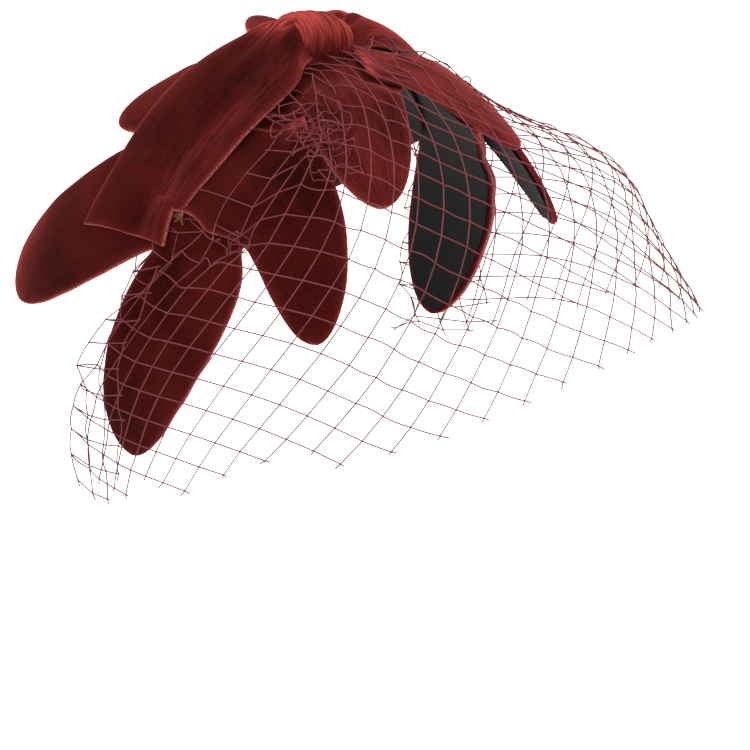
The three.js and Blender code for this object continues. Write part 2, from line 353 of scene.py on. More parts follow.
def pileGroup():
    # brushed pile: long marks that follow the cloth, mottled lay and fine tufts, with painted sheen
    # highlights mixed in by the crush mask and along the rim
    group = bpy.data.node_groups.new("brushedPile", "ShaderNodeTree")
    face = group.interface
    for name, kind in (
        ("Cloth", "NodeSocketVector"), ("Place", "NodeSocketVector"), ("Rim", "NodeSocketFloat"),
        ("CrushAndSheen", "NodeSocketFloat"), ("Deep", "NodeSocketColor"), ("Raised", "NodeSocketColor"),
        ("CrushedAndLit", "NodeSocketColor"), ("Edge", "NodeSocketColor"),
    ):
        face.new_socket(name, in_out="INPUT", socket_type=kind)
    for name, kind in (("Colour", "NodeSocketColor"), ("Height", "NodeSocketFloat")):
        face.new_socket(name, in_out="OUTPUT", socket_type=kind)
    given = group.nodes.new("NodeGroupInput").outputs
    end = group.nodes.new("NodeGroupOutput")

    def times(value, factor, clamp=False):
        return mathNode(group, "MULTIPLY", value, factor, clamp)

    def plus(value, more):
        return mathNode(group, "ADD", value, more)

    def over(value, low, factor):
        return times(mathNode(group, "SUBTRACT", value, low), factor, True)

    marks = pileMarks
    brush, crease = (noiseMarks(group, given["Cloth"], **marks[name]) for name in ("brush", "crease"))
    lay, tuft = (noiseMarks(group, given["Place"], **marks[name]) for name in ("lay", "tuft"))
    brushed, mottled, tufted = (times(*pair) for pair in zip((brush, lay, tuft), marks["shares"]))
    spread = addNode(group, "ShaderNodeMapRange", **marks["spread"])
    group.links.new(plus(plus(brushed, mottled), tufted), spread.inputs["Value"])
    colour = mixColour(group, spread.outputs[0], given["Deep"], given["Raised"])
    laid = plus(over(lay, *marks["laid"]), times(tuft, marks["laidTufts"]))
    creased = times(over(crease, *marks["creased"]), marks["creaseShare"])
    laid = times(laid, plus(creased, marks["creaseLeast"]))
    # crushed pile and painted sheen highlight, mixed in by the crush mask
    colour = mixColour(group, times(laid, given["CrushAndSheen"], True), colour, given["CrushedAndLit"])
    # painted highlight along the rim
    rimHighlight = times(given["Rim"], times(tuft, marks["rimHighlight"]))
    colour = mixColour(group, rimHighlight, colour, given["CrushedAndLit"])
    # pale edge, partly wear and partly a painted sheen highlight
    wornAndSheen = mathNode(group, "POWER", given["Rim"], marks["wornAndSheenPower"])
    colour = mixColour(group, times(wornAndSheen, over(tuft, *marks["frayed"])), colour, given["Edge"])
    group.links.new(colour, end.inputs["Colour"])
    group.links.new(plus(tuft, times(brush, marks["brushHeight"])), end.inputs["Height"])
    return group


velvetFinish = {
    "pile": {
        "Deep": (0.013, 0.0010, 0.0008, 1),
        "Raised": (0.056, 0.0046, 0.0036, 1),
        # bright red of crushed pile and of the painted sheen highlights
        "CrushedAndLit": (0.24, 0.030, 0.026, 1),
        # pale pink of the worn edge and its painted sheen highlight
        "Edge": (0.46, 0.13, 0.11, 1),
    },
    "shader": {
        "Roughness": 0.9,
        "Specular IOR Level": 0.03,
        "Sheen Weight": 0.6,
        "Sheen Roughness": 0.28,
        "Sheen Tint": (1.0, 0.15, 0.12, 1),
    },
    "bump": {"Strength": 0.35, "Distance": 0.0005},
}


def velvetCloth(pile):
    material, tree, shader = newMaterial("wineVelvet", velvetFinish["shader"])
    cover = tree.nodes.new("ShaderNodeGroup")
    cover.node_tree = pile
    for name, colour in velvetFinish["pile"].items():
        cover.inputs[name].default_value = colour
    for name, kind, socket, settings in (
        ("Cloth", "ShaderNodeUVMap", 0, {"uv_map": "cloth"}),
        ("Place", "ShaderNodeTexCoord", "Object", {}),
        ("Rim", "ShaderNodeAttribute", "Fac", {"attribute_name": "rim"}),
        ("CrushAndSheen", "ShaderNodeAttribute", "Fac", {"attribute_name": "crushAndSheen"}),
    ):
        tree.links.new(addNode(tree, kind, **settings).outputs[socket], cover.inputs[name])
    tree.links.new(cover.outputs["Colour"], shader.inputs["Base Color"])
    addBump(tree, shader, cover.outputs["Height"], velvetFinish["bump"])
    return material


liningFinish = {
    "colours": ((0.0025, 0.0023, 0.0023, 1), (0.010, 0.009, 0.009, 1)),
    "weave": {"Scale": 2200 / 6.28, "Distortion": 0.4},
    "cloud": {"Scale": 90, "Detail": 4},
    "shader": {"Roughness": 0.8, "Specular IOR Level": 0.12},
    "bump": {"Strength": 0.4, "Distance": 0.0002},
}


def liningCloth():
    material, tree, shader = newMaterial("blackLining", liningFinish["shader"])
    follow = addNode(tree, "ShaderNodeUVMap", uv_map="cloth")
    heights = []
    for turned in (0, math.pi / 2):
        way = addNode(tree, "ShaderNodeMapping", Rotation=(0, 0, turned))
        tree.links.new(follow.outputs[0], way.inputs["Vector"])
        wave = addNode(tree, "ShaderNodeTexWave", **liningFinish["weave"])
        tree.links.new(way.outputs[0], wave.inputs["Vector"])
        heights.append(wave.outputs["Fac"])
    weave = mathNode(tree, "MAXIMUM", *heights)
    places = addNode(tree, "ShaderNodeTexCoord")
    cloud = noiseMarks(tree, places.outputs["Object"], **liningFinish["cloud"])
    shade = mathNode(tree, "MULTIPLY", weave, cloud)
    tree.links.new(mixColour(tree, shade, *liningFinish["colours"]), shader.inputs["Base Color"])
    addBump(tree, shader, weave, liningFinish["bump"])
    return material


threadFinish = {
    "mauveThread": ((0.070, 0.010, 0.014, 1), (0.17, 0.033, 0.042, 1)),
    "goldenThread": ((0.10, 0.034, 0.018, 1), (0.32, 0.14, 0.07, 1)),
    "twist": {"Scale": 900, "Detail": 3},
    "shader": {"Roughness": 0.7, "Specular IOR Level": 0.15},
    "bump": {"Strength": 0.5, "Distance": 0.0001},
}


def twistedThread(name):
    material, tree, shader = newMaterial(name, threadFinish["shader"])
    places = addNode(tree, "ShaderNodeTexCoord")
    twist = noiseMarks(tree, places.outputs["Object"], **threadFinish["twist"])
    tree.links.new(mixColour(tree, twist, *threadFinish[name]), shader.inputs["Base Color"])
    addBump(tree, shader, twist, threadFinish["bump"])
    return material


# threads: round strands as curves, which become meshes


def threadCurve(name, radius):
    curve = bpy.data.curves.new(name, "CURVE")
    curve.dimensions = "3D"
    curve.bevel_depth = radius * mm
    curve.bevel_resolution = 1
    return curve


def addThread(curve, points):
    spline = curve.splines.new("POLY")
    spline.points.add(len(points) - 1)
    for place, point in zip(spline.points, points):
        place.co = (*(Vector(point) * mm), 1)


def addBowed(curve, here, there, bow):
    addThread(curve, [here.lerp(there, u) + bow * (4 * u * (1 - u)) for u in (0, 0.25, 0.5, 0.75, 1)])


def meshFromCurve(curve):
    threads = placeObject(curve.name, curve)
    mesh = bpy.data.meshes.new_from_object(threads.evaluated_get(bpy.context.evaluated_depsgraph_get()))
    bpy.data.objects.remove(threads)
    return mesh


# leaves: velvet on a black lining, layer by layer

leafCut = [
    # root and tip are degrees down from the top and round to the right, and a pair is for the two edges:
    # halves are half-widths, roots their share at the root, necks where they start to swell, and flaps how
    # much wider the root is and from where to where that ends; belly is the widest place
    # layers are the cloths under root and tip, rise where it climbs, sink the dip of one edge,
    # tuck the share that runs on under the bow, and rim the strength of its edge's wear and painted sheen
    # highlight; crush is the brushed pile with a painted sheen highlight all over the leaf
    # rolled is the edge whose root corner is folded over, cut back by slant over a ramp across,
    # and fold is the fold's place at the corner and within, and its part of the width
    dict(name="front_right", root=(11.1, 10), tip=(48.9, 32.6), halves=(18.7, 15.5), belly=0.28, bend=1.3,
         roots=(0.8, 1.5), flaps=((7, 0.05, 0.4), (18, 0.25, 0.56)), sink=5.4,
         layers=(0, 2), rise=(0.12, 0.44), tuck=0.1, crushAndSheen=0.15),
    dict(name="front_left", root=(14.5, -22), tip=(48, -29), halves=(16.5, 16.5), belly=0.52,
         roots=(0.7, 0.5), layers=(1, 3), rise=(0.03, 0.44), tuck=0.04, crushAndSheen=0.3, rim=0.35,
         rolled=1, slant=0.08, fold=(0.08, 0, -0.6, 0.8)),
    dict(name="temple_right", root=(31.9, 76), tip=(72.6, 51.7), halves=(14, 19.4), belly=0.28, bend=-5,
         roots=(0.7, 1.35), flaps=((5, 0.1, 0.3), (9, 0.3, 0.58)), layers=(1, 1), tuck=0.1,
         rolled=-1, slant=0.16, ramp=(-0.4, 0.5), fold=(0.185, 0.15, 0.15, 0.75)),
    dict(name="temple_left", root=(29, -70), tip=(69, -49), halves=(21, 16), belly=0.5, bend=1,
         flaps=((4, 0.16, 0.5), (0, 0, 1)), layers=(1, 2), rise=(0, 0.6), tuck=0.1, crushAndSheen=0.2, rim=0.35),
    dict(name="side_right", root=(47, 62.5), tip=(99, 90.2), halves=(13.7, 22), belly=0.49, bend=-2.4,
         roots=(0.2, 0.4), necks=(0.18, 0.18), flaps=((2, 0.05, 0.2), (13, 0.1, 0.4)), tuck=0.1),
    dict(name="side_left", root=(47, -62.5), tip=(98, -90), halves=(20, 14.5), belly=0.49, bend=1.8,
         roots=(0.4, 0.2), necks=(0.18, 0.18), flaps=((13, 0.1, 0.4), (6, 0.1, 0.4)), tuck=0.1),
    dict(name="back_right", root=(42, 89), tip=(78.4, 132), halves=(21.5, 16), belly=0.28, bend=-5,
         roots=(1.35, 0.95), tuck=0.02),
    dict(name="back_left", root=(42, -89), tip=(78, -129), halves=(16, 21), belly=0.28, bend=5,
         roots=(0.95, 1.35), tuck=0.02),
    dict(name="crown_right", root=(12, 118), tip=(38.4, 120.7), halves=(14.5, 13.7), belly=0.28, bend=-5,
         roots=(0.7, 0.12), tipLift=2, tuck=0.1, crushAndSheen=0.16),
    dict(name="crown_left", root=(8, -112), tip=(24.8, -134), halves=(9.5, 11), belly=0.35,
         tipLift=7.6, tuck=0.1),
]
leafSewing = {
    "tipHalf": 1.2,
    "layerBase": 1.6,
    "layerPitch": 2.7,
    "velvetOver": 1.15,  # velvet's underside over its lining's underside
    "velvetWall": 1.5,
    "liningOver": 0.5,
    "liningWall": 0.7,
    "liningInset": 2.0,  # the velvet is turned under by so much
    "liningBack": 0.14,  # the lining ends so far behind a rolled corner, as a share of the length
    "sinkAcross": (0.1, 0.7),
    "sinkStart": (0.12, 0.44),
    "sinkEnd": (0.45, 0.6),
    "crown": 0.7,  # the middle stands up a little
    "crownReach": 1.1,
    "ripple": 0.45,
    "rippleSize": 16,
    "rippleLeast": -0.6,
    "rippleFrom": (0, 0.3),
    "rippleSeed": 5,
    "edgeRipple": 0.35,
    "edgeRippleSize": 9,
    "rollHeight": 2.4,
    "rollReach": (0.03, 0.07),  # behind and before the fold, as shares of the length
    # painted highlight along the crest of the folded corner
    "rollHighlight": 1.6,
    "cutSpare": 1.1,  # the flat piece over the leaf, both ways
    "stations": 20,
    "middleLift": 3,
    "facets": (22, 44),
    "liningFacets": (12, 26),
}


def mapSpot(place):
    polar, azimuth = place[0], math.radians(place[1])
    return Vector((polar * math.sin(azimuth), polar * math.cos(azimuth)))


def leafSpine(leaf):
    root, tip = mapSpot(leaf["root"]), mapSpot(leaf["tip"])
    run = (tip - root).normalized()
    middle = (root + tip) / 2 + Vector((run.y, -run.x)) * (2 * leaf.get("bend", 0))

    def at(t):
        return root * (1 - t) ** 2 + middle * (2 * t * (1 - t)) + tip * t * t
    return at


def leafHalf(leaf, t, across):
    edge = 1 if across > 0 else 0
    belly, neck = leaf["belly"], leaf.get("necks", (0, 0))[edge]
    u = (t - belly) / (belly - neck if t < belly else 1 - belly)
    root = leaf.get("roots", (0.7, 0.7))[edge] if t < belly else 0
    flap, low, high = leaf.get("flaps", ((0, 0, 1), (0, 0, 1)))[edge]
    flap *= 1 - ease(t, low, high)
    return leaf["halves"][edge] * blendTo(root, 1, math.sqrt(max(1 - u * u, 0))) + flap


def leafLift(leaf, t):
    low, high = leaf.get("layers", (0, 0))
    layer = blendTo(low, high, ease(t, *leaf.get("rise", (0, 1))))
    return leafSewing["layerBase"] + layer * leafSewing["layerPitch"] + leaf.get("tipLift", 0) * t * t


def leafLength(leaf):
    spine, count = leafSpine(leaf), leafSewing["stations"]
    stations = [overDome(spine(k / count), leafSewing["middleLift"]) for k in range(count + 1)]
    return sum((b - a).length for a, b in zip(stations, stations[1:])) * (1 + leaf.get("tuck", 0)) * mm


def leafSheet(name, leaf, facets, over, inset, seed, plain):
    spine = leafSpine(leaf)
    sewing = leafSewing
    rolled = leaf.get("rolled", 0)
    length = leafLength(leaf)

    def spread(across):
        return (across + math.sin(math.pi / 2 * across)) / 2  # narrow last rows for the rim

    def station(across, along):
        corner = ease(across * rolled, *leaf.get("ramp", (-0.3, 1))) if rolled else 0
        back = sewing["liningBack"] if plain else 0
        start = blendTo(-leaf.get("tuck", 0), leaf.get("slant", 0) + back, corner)
        return blendTo(start, 1 - inset * mm / length, math.sin(math.pi / 2 * along))

    def rollAt(across, t):
        # the root corner's fold, which runs slantwise over the leaf
        if not rolled:
            return 0
        corner, inner, low, high = leaf["fold"]
        side = ease(across * rolled, low, high)
        past = t - blendTo(inner, corner, max(across * rolled, 0))
        return side * math.exp(-(past / sewing["rollReach"][0 if past < 0 else 1]) ** 2)

    def place(across, along):
        across = spread(across)
        t = station(across, along)
        half = max(leafHalf(leaf, t, across) - inset, sewing["tipHalf"])
        lift = leafLift(leaf, t) + over
        if "sink" in leaf:
            dip = leaf["sink"] * ease(across, *sewing["sinkAcross"])
            lift -= dip * (1 - ease(t, *sewing["sinkEnd"])) * ease(t, *sewing["sinkStart"])
        if not plain:
            here = overDome(spine(t), 0)
            half += sewing["edgeRipple"] * ripple(here, sewing["edgeRippleSize"], seed) * abs(across)
            crown = math.sin(math.pi * min(along * sewing["crownReach"], 1)) ** 0.5
            lift += sewing["crown"] * (1 - across * across) * crown
            spot = besideCurve(spine, t, across * half, 0, 0)
            wave = max(ripple(spot, sewing["rippleSize"], seed + sewing["rippleSeed"]), sewing["rippleLeast"])
            lift += sewing["ripple"] * wave * ease(t, *sewing["rippleFrom"])
            lift += sewing["rollHeight"] * rollAt(across, t)
        return besideCurve(spine, t, across * half, 0, lift)

    def rimOf(across, along):
        inward = (1 - abs(spread(across))) * leafHalf(leaf, station(across, along), across)
        inward = min(inward, (1 - math.sin(math.pi / 2 * along)) * length / mm)
        return leaf.get("rim", 1) * math.exp(-max(inward, 0) / rimFade)

    # brushed pile with a painted sheen highlight, brightest along the folded corner's crest
    def crushAndSheenOf(across, along):
        return leaf.get("crushAndSheen", 0) + sewing["rollHighlight"] * rollAt(across, station(across, along)) ** 2

    return bentCloth(name, facets, place, (sum(leaf["halves"]) * mm, length), rimOf, crushAndSheenOf)


def makeLeaves(velvet, lining):
    sewing = leafSewing
    count = sewing["stations"]
    leaves = []
    for number, leaf in enumerate(leafCut):
        over = sewing["velvetOver"] + sewing["velvetWall"] / 2
        top = leafSheet("velvet_" + leaf["name"], leaf, sewing["facets"], over, 0, number, False)
        widths = [leafHalf(leaf, k / count, -1) + leafHalf(leaf, k / count, 1) for k in range(-2, count + 1)]
        cut = max(widths) * sewing["cutSpare"] * mm, leafLength(leaf) * sewing["cutSpare"]
        cloth(top, cut, sewing["velvetWall"])
        wear(top, velvet, "velvet", "leaf_" + leaf["name"])
        under = leafSheet("black_" + leaf["name"], leaf, sewing["liningFacets"], sewing["liningOver"],
                          sewing["liningInset"], number, True)
        cloth(under, cut, sewing["liningWall"])
        wear(under, lining, "lining", "lining_" + leaf["name"])
        leaves.append(top)
    print("leaves:", len(leaves))
    return leaves


# bow: a ribbon with two tails, and the knot round its middle

ribbonCut = {
    # degrees aside and ahead, half-widths to front and back, lift, end's skew, puff, rise of the back edge
    "rows": [
        (58.5, -5.5, 18.2, 19.5, 4.8, 3.2, 0.6, 0),
        (51, -3.5, 15.6, 18.2, 5.2, 1.5, 1, 0),
        (47.5, -2.5, 15.8, 18, 5.6, 1, 1.5, 0),
        (38, 0, 17.5, 18.2, 6.6, 0, 2.4, 0.6),
        (26, 3.5, 17, 16.5, 8.2, 0, 3.6, 2.4),
        (17, 5.6, 15, 13.5, 8.6, 0, 6, 4),
        (12.5, 6.4, 11.5, 10, 9.2, 0, 8.6, 4),
        (9.5, 6.8, 7.6, 7.4, 8, 0, 11, 1.5),
        (4, 6.9, 4.8, 4.8, 6, 0, 9, 0),
        (-4, 6.9, 4.8, 4.8, 5.5, 0, 7.5, 0),
        (-9.5, 6.8, 6.2, 6.4, 5.6, 0, 6, 1),
        (-12.5, 6.4, 9, 10, 7.2, 0, 6.6, 1.2),
        (-17, 5.6, 13, 13.5, 8.4, 0, 5.6, 1.6),
        (-26, 3.5, 17, 16.5, 9, 0, 3.6, 2.4),
        (-38, 0, 17.5, 17, 7.4, 0, 2.4, 0.6),
        (-47.5, -2.5, 15.5, 16, 5.6, -1, 1.5, 0),
        (-58.5, -5.5, 14.5, 14.5, 4.8, -3, 0.6, 0),
    ],
    "step": (3.6, 0.1, 0.11),  # depth of the cut-in near the right end, and from where to where it starts
    "wall": 1.9,
    "flat": (0.038, 0.2),
    "facets": (40, 170),
    "backFrom": (0.1, 1),  # across, where the back edge rises
    "pleats": 3.0,
    "pleatHeight": 0.7,
    "pleatSway": (1.5, 3),
    "pleatPlace": (0.12, 0.11),  # along, from the middle, and its reach
    "valley": 2.0,
    "valleyFrom": (0.12, 0.3),
    "valleyLine": (0.05, 0.25, 7),  # across, how far it sways and how fast
    "valleyReach": 0.34,
    "ripple": (0.35, 11, 31),  # height, size and seed
    "rippleSpan": (14, 160),
    "endHollow": 1.2,
    "endFrom": (0.44, 0.5),
    # painted sheen highlights on the pile: strength, then middle and reach of a mark or the ends of a slope
    "sheenBand": (0.2, (0.62, 0.26), (0.1, 0.2)),  # across, and out from the knot
    "sheenPatch": (0.18, (0.14, 0.06), (0.3, 0.35)),  # along and across
    "gatherSheen": (1.7, (0.41, 0.055), (-0.4, 0.1)),  # along, and to the back edge
    "lipSheen": (0.8, (0.4, 0.05), (0.65, 1)),  # along, and to the front edge
    "farTailSheen": (0.2, (0.5, 0.6)),
}


def makeRibbon(velvet):
    cut = ribbonCut
    aside, ahead, front, back, lift, skew, puff, backRise = tableSplines(cut["rows"])
    spine = spotLine(aside, ahead)

    def place(across, along):
        depth, low, high = cut["step"]
        cutIn = depth * (1 - ease(along, low, high))
        reach = across * (front(along) - cutIn if across > 0 else back(along))
        raised = lift(along) + puff(along) * (1 - across * across) + cut["wall"] / 2
        raised += backRise(along) * ease(-across, *cut["backFrom"])
        middle = abs(along - 0.5)
        sway, pace = cut["pleatSway"]
        pleat = math.cos(math.pi * cut["pleats"] * across + sway * math.sin(pace * across))
        raised += cut["pleatHeight"] * pleat * bell(middle, *cut["pleatPlace"])
        line, sway, pace = cut["valleyLine"]
        line += sway * math.sin(pace * along)
        raised -= cut["valley"] * ease(middle, *cut["valleyFrom"]) * bell(across, line, cut["valleyReach"])
        height, size, seed = cut["ripple"]
        wide, long = cut["rippleSpan"]
        raised += height * ripple((across * wide, along * long, 0), size, seed)
        end = ease(middle, *cut["endFrom"]) * (1 if along < 0.5 else -1)
        on = across * skew(along) + end * cut["endHollow"] * (1 - across * across)
        return besideCurve(spine, along, reach, on, raised)

    def rimOf(across, along):
        inward = (1 - abs(across)) * (front(along) if across > 0 else back(along))
        inward = min(inward, min(along, 1 - along) * cut["flat"][1] / mm)
        return math.exp(-inward / rimFade)

    # painted sheen highlights: a band by the front edge, a patch near the end, the top and front lip next to
    # the knot, and the far tail
    def crushAndSheenOf(across, along):
        strength, line, slope = cut["sheenBand"]
        crushAndSheen = strength * bell(across, *line) * ease(abs(along - 0.5), *slope)
        strength, spot, line = cut["sheenPatch"]
        crushAndSheen += strength * bell(along, *spot) * bell(across, *line)
        strength, spot, slope = cut["gatherSheen"]
        crushAndSheen += strength * bell(along, *spot) * ease(-across, *slope)
        strength, spot, slope = cut["lipSheen"]
        crushAndSheen += strength * bell(along, *spot) * ease(across, *slope)
        strength, slope = cut["farTailSheen"]
        return crushAndSheen + strength * ease(along, *slope)

    ribbon = bentCloth("velvet_bow_ribbon", cut["facets"], place, cut["flat"], rimOf, crushAndSheenOf)
    cloth(ribbon, cut["flat"], cut["wall"])
    wear(ribbon, velvet, "velvet", "bow_ribbon")
    print("ribbon done")


ravelling = {
    "threads": 18,
    "points": 6,
    "radius": 0.1,
    "inset": (0.3, 1.2),  # least, and past the cut-in's depth
    "start": 0.004,  # before the cut-in, along the ribbon
    "fall": 0.055,  # along the ribbon
    "hang": (0.5, 1.0),  # shares of the fall
    "drift": (-1.5, 1.0),
    "stray": 1.3,
    "over": 0.6,
    "sink": 1.2,
    "seed": 5,
}


def makeRavel(golden):
    # loose ground threads where the tail is cut in
    ravel = ravelling
    rng = random.Random(ravel["seed"])
    columns = tableSplines(ribbonCut["rows"])
    spine, front, lift = spotLine(*columns[:2]), columns[2], columns[4]
    depth, high = ribbonCut["step"][0], ribbonCut["step"][2]
    least, past = ravel["inset"]
    curve = threadCurve("ravelThreads", ravel["radius"])
    for k in range(ravel["threads"]):
        reach = front(high) - rng.uniform(least, depth + past)
        hang = rng.uniform(*ravel["hang"]) * ravel["fall"]
        drift = rng.uniform(*ravel["drift"])
        points = []
        for step in range(ravel["points"]):
            u = step / (ravel["points"] - 1)
            t = high + ravel["start"] - hang * u
            stray = [rng.uniform(-1, 1) * ravel["stray"] * u for axis in range(2)]
            over = lift(t) + ravel["over"] - ravel["sink"] * u
            points.append(besideCurve(spine, t, reach + drift * u + stray[0], stray[1], over))
        addThread(curve, points)
    wear(placeObject("golden_ravel", meshFromCurve(curve)), golden, "velvet")
    print("ravel done")


knotSewing = {
    "middle": (-1.0, -12.4, 9.4),
    "turn": -4,
    "tip": 7,
    "halfWidth": 12.0,
    "halfDepth": 7.4,
    "halfHeight": 7.6,
    "sag": 0.8,
    "lean": 0.26,  # the right end stands higher
    "squareness": 2.2,
    "tuck": (0.26, 0.24),  # how far the right and the left rim draw in on the ribbon
    "tuckPower": 5,
    "pleats": (8.5, 3.2),  # fine on the right, broad on the left
    "pleatHeight": (0.35, 0.8),
    "pleatSlope": (-0.6, 0.7),  # across, from the one height to the other
    "pleatSharpness": 1.5,
    "pleatFrom": (-0.7, 0.3),  # plain underneath
    "sway": (0.07, 0.6),  # how far the pleats run aslant, and from where round the sleeve
    "waver": (0.04, 4),
    "rimFrom": 0.99,
    # brushed pile with a painted sheen highlight: all over, on top, more on the right, on the left rim
    "crushAndSheen": (0.32, 0.5, 0.45, 0.6),  # brushed pile all over, on top, more on the right, on the left rim
    "litTop": (-0.4, 0.7),
    "rightSheen": (-0.4, 0.5),
    "rimSheen": (0.82, 0.94),
    "wall": 0.9,
    "flat": (0.034, 0.056),
    "uvSize": (0.023, 0.07),
    "weld": 0.01,
    "facets": (48, 84),
}


def makeKnot(velvet):
    knot = knotSewing
    power = 2 / knot["squareness"]
    seat = Matrix.Translation(knot["middle"]) @ Matrix.Rotation(math.radians(knot["turn"]), 4, "Z")
    seat = seat @ Matrix.Rotation(math.radians(knot["tip"]), 4, "X")

    def place(across, along):
        turn = 2 * math.pi * along
        y, z = math.cos(turn), math.sin(turn)
        (sway, start), (waver, pace) = knot["sway"], knot["waver"]
        fold = across + sway * math.sin(turn + start) + waver * math.sin(2 * turn + pace * across)
        pleats = blendTo(*knot["pleats"], (fold + 1) / 4)
        ridge = 1 - abs(math.sin(math.pi / 2 * pleats * (fold + 1))) ** knot["pleatSharpness"]
        ridge *= blendTo(*knot["pleatHeight"], ease(fold, *knot["pleatSlope"])) * ease(z, *knot["pleatFrom"])
        drawn = 1 - knot["tuck"][0 if across < 0 else 1] * abs(across) ** knot["tuckPower"]
        deep = (knot["halfDepth"] + ridge) * drawn
        high = (knot["halfHeight"] + ridge) * drawn
        point = Vector((
            across * knot["halfWidth"],
            deep * math.copysign(abs(y) ** power, y),
            high * math.copysign(abs(z) ** power, z) - knot["sag"] * across * across
            - knot["lean"] * knot["halfWidth"] * across,
        ))
        return seat @ point

    def rimOf(across, along):
        return 1.0 if across > knot["rimFrom"] else 0.0

    # painted sheen highlight, brightest over the top of the sleeve
    def crushAndSheenOf(across, along):
        plain, top, right, rim = knot["crushAndSheen"]
        more = top + right * ease(-across, *knot["rightSheen"]) + rim * ease(across, *knot["rimSheen"])
        return plain + ease(math.sin(2 * math.pi * along), *knot["litTop"]) * more

    sleeve = bentCloth("velvet_bow_knot", knot["facets"], place, knot["uvSize"], rimOf, crushAndSheenOf)
    bm = bmesh.new()
    bm.from_mesh(sleeve.data)
    bmesh.ops.remove_doubles(bm, verts=bm.verts, dist=knot["weld"] * mm)
    bmesh.ops.recalc_face_normals(bm, faces=bm.faces)
    bm.to_mesh(sleeve.data)
    bm.free()
    cloth(sleeve, knot["flat"], knot["wall"])
    wear(sleeve, velvet, "velvet", "bow_knot")
    print("knot done")


# base band: plain, hidden under the leaf roots

bandCut = {
    # degrees aside and ahead, half-widths to front and back
    "rows": [(54, 1, 8, 8), (30, 4, 14, 12), (0, 4, 20, 14), (-30, 4, 14, 12), (-54, 1, 8, 8)],
    "lift": 0.55,
    "hem": (0.25, 0.9, 0.05),  # depth of the stitched hem, its place across and its reach
    "wall": 0.9,
    "flat": (0.04, 0.15),
    "uvSize": (0.03, 0.15),
    "facets": (14, 60),
}


def makeBand(lining):
    aside, ahead, front, back = tableSplines(bandCut["rows"])
    spine = spotLine(aside, ahead)

    def place(across, along):
        reach = across * (front(along) if across > 0 else back(along))
        depth, line, wide = bandCut["hem"]
        return besideCurve(spine, along, reach, 0, bandCut["lift"] - depth * bell(abs(across), line, wide))

    band = bentCloth("black_base_band", bandCut["facets"], place, bandCut["uvSize"])
    cloth(band, bandCut["flat"], bandCut["wall"])
    wear(band, lining, "lining", "base_band")
    print("base band done")


# veil: a knotted net, cut on the bias, sewn along the bow and gathered at tacks between the leaves

veilCut = {
    # azimuth, sewn aside, ahead and lift, rise, shoulder radius and height, hem radius and height
    "rows": [
        (-104, -65, -2, 5.8, 1, 82, -84, 85, -115),
        (-91, -54, 8, 6.2, 2, 83, -80, 87, -118),
        (-70, -36, 12.5, 7.4, 2, 95, -62, 106, -103),
        (-38, -16, 15.2, 10.4, -1.2, 104, -33, 129, -81),
        (0, 0, 16.6, 9.8, 3.5, 105, -30, 131, -65),
        (38, 16, 15.2, 8.6, 6.7, 105, -38, 129, -81),
        (70, 36, 12.5, 7.4, 3, 95, -62, 106, -103),
        (91, 54, 8, 6.2, 2, 83, -80, 87, -118),
        (104, 65, -2, 5.8, 1, 82, -84, 85, -115),
    ],
    "underBow": 9.0,  # degrees that the sewn edge runs on under the bow
    "underDrop": 3.0,
    "samples": (300, 90),
    "fineSamples": (600, 60),
    "foldBack": 0.08,  # share of the hem that is turned back at each end
    "foldLift": 1.6,
    "cell": 9.0,  # along a strand, knot to knot
    "thread": 0.2,  # radius
    "knot": 0.36,
    "hemSamples": (-0.2, 1.2, 1401),
    "hemStretch": 1.15,  # the hung hem over the flat one
    "hemStart": 0.4,  # from the cut edge to the first knots
    "turnFrom": 0.45,  # share of the half hem where the cut edge starts to turn up
    "turnUp": 38.0,
    "tacks": [60, 52, 41, 28, 2, -28, -41, -52, -60],  # degrees aside, along the sewn edge
    "tackWidth": 6.0,
    "tackReach": 26.0,
    "widths": (0.5, 1.15),  # how far a cell can be drawn in and out
    "even": 14,  # samples over which the fall of the net evens out
    "sewnFrom": 0.95,  # share of the fall where knots are held
    "longest": 2,  # cells between two knots
    "rounds": 120,
    "pull": 1.6,
    "push": 0.25,  # of a strand that is too short
    "hold": 0.03,
    "clear": 0.7,
    "clearEvery": 12,  # rounds
    "clearReach": 7,
    "wander": 0.8,
    "wanderSize": 14,
    "wanderSeeds": (41, 42, 43),
    "slackBow": (0.45, 2.8),  # share of its slack that a strand shows, and the most
    "slackFrom": 2,  # a strand with so much shows it all
    "bowing": (0.5, 1),
    "lean": 1.4,
    "stub": (1.0, 2.4),
    "stubStray": 0.25,
    "seed": 11,
}


def softCurve(points, t):
    # centripetal spline through a few points
    i, w = segment(points, t)
    p1, p2 = points[i], points[i + 1]
    p0 = points[i - 1] if i > 0 else 2 * points[0] - points[1]
    p3 = points[i + 2] if i + 2 < len(points) else 2 * points[-1] - points[-2]
    d0, d1, d2 = (max(np.linalg.norm(b - a), 1e-4) ** 0.5 for a, b in ((p0, p1), (p1, p2), (p2, p3)))
    v1 = ((p1 - p0) / d0 - (p2 - p0) / (d0 + d1) + (p2 - p1) / d1) * d1
    v2 = ((p2 - p1) / d1 - (p3 - p1) / (d1 + d2) + (p3 - p2) / d2) * d1
    return hermite(p1, p2, v1, v2, w)


def runsAlong(points):
    return np.concatenate([[0], np.cumsum(np.linalg.norm(np.diff(points, axis=0), axis=1))])


def byLength(points, count):
    # the same line with evenly spaced points
    runs = runsAlong(points)
    even = np.linspace(0, runs[-1], count)
    return np.stack([np.interp(even, runs, points[:, k]) for k in range(3)], axis=1)


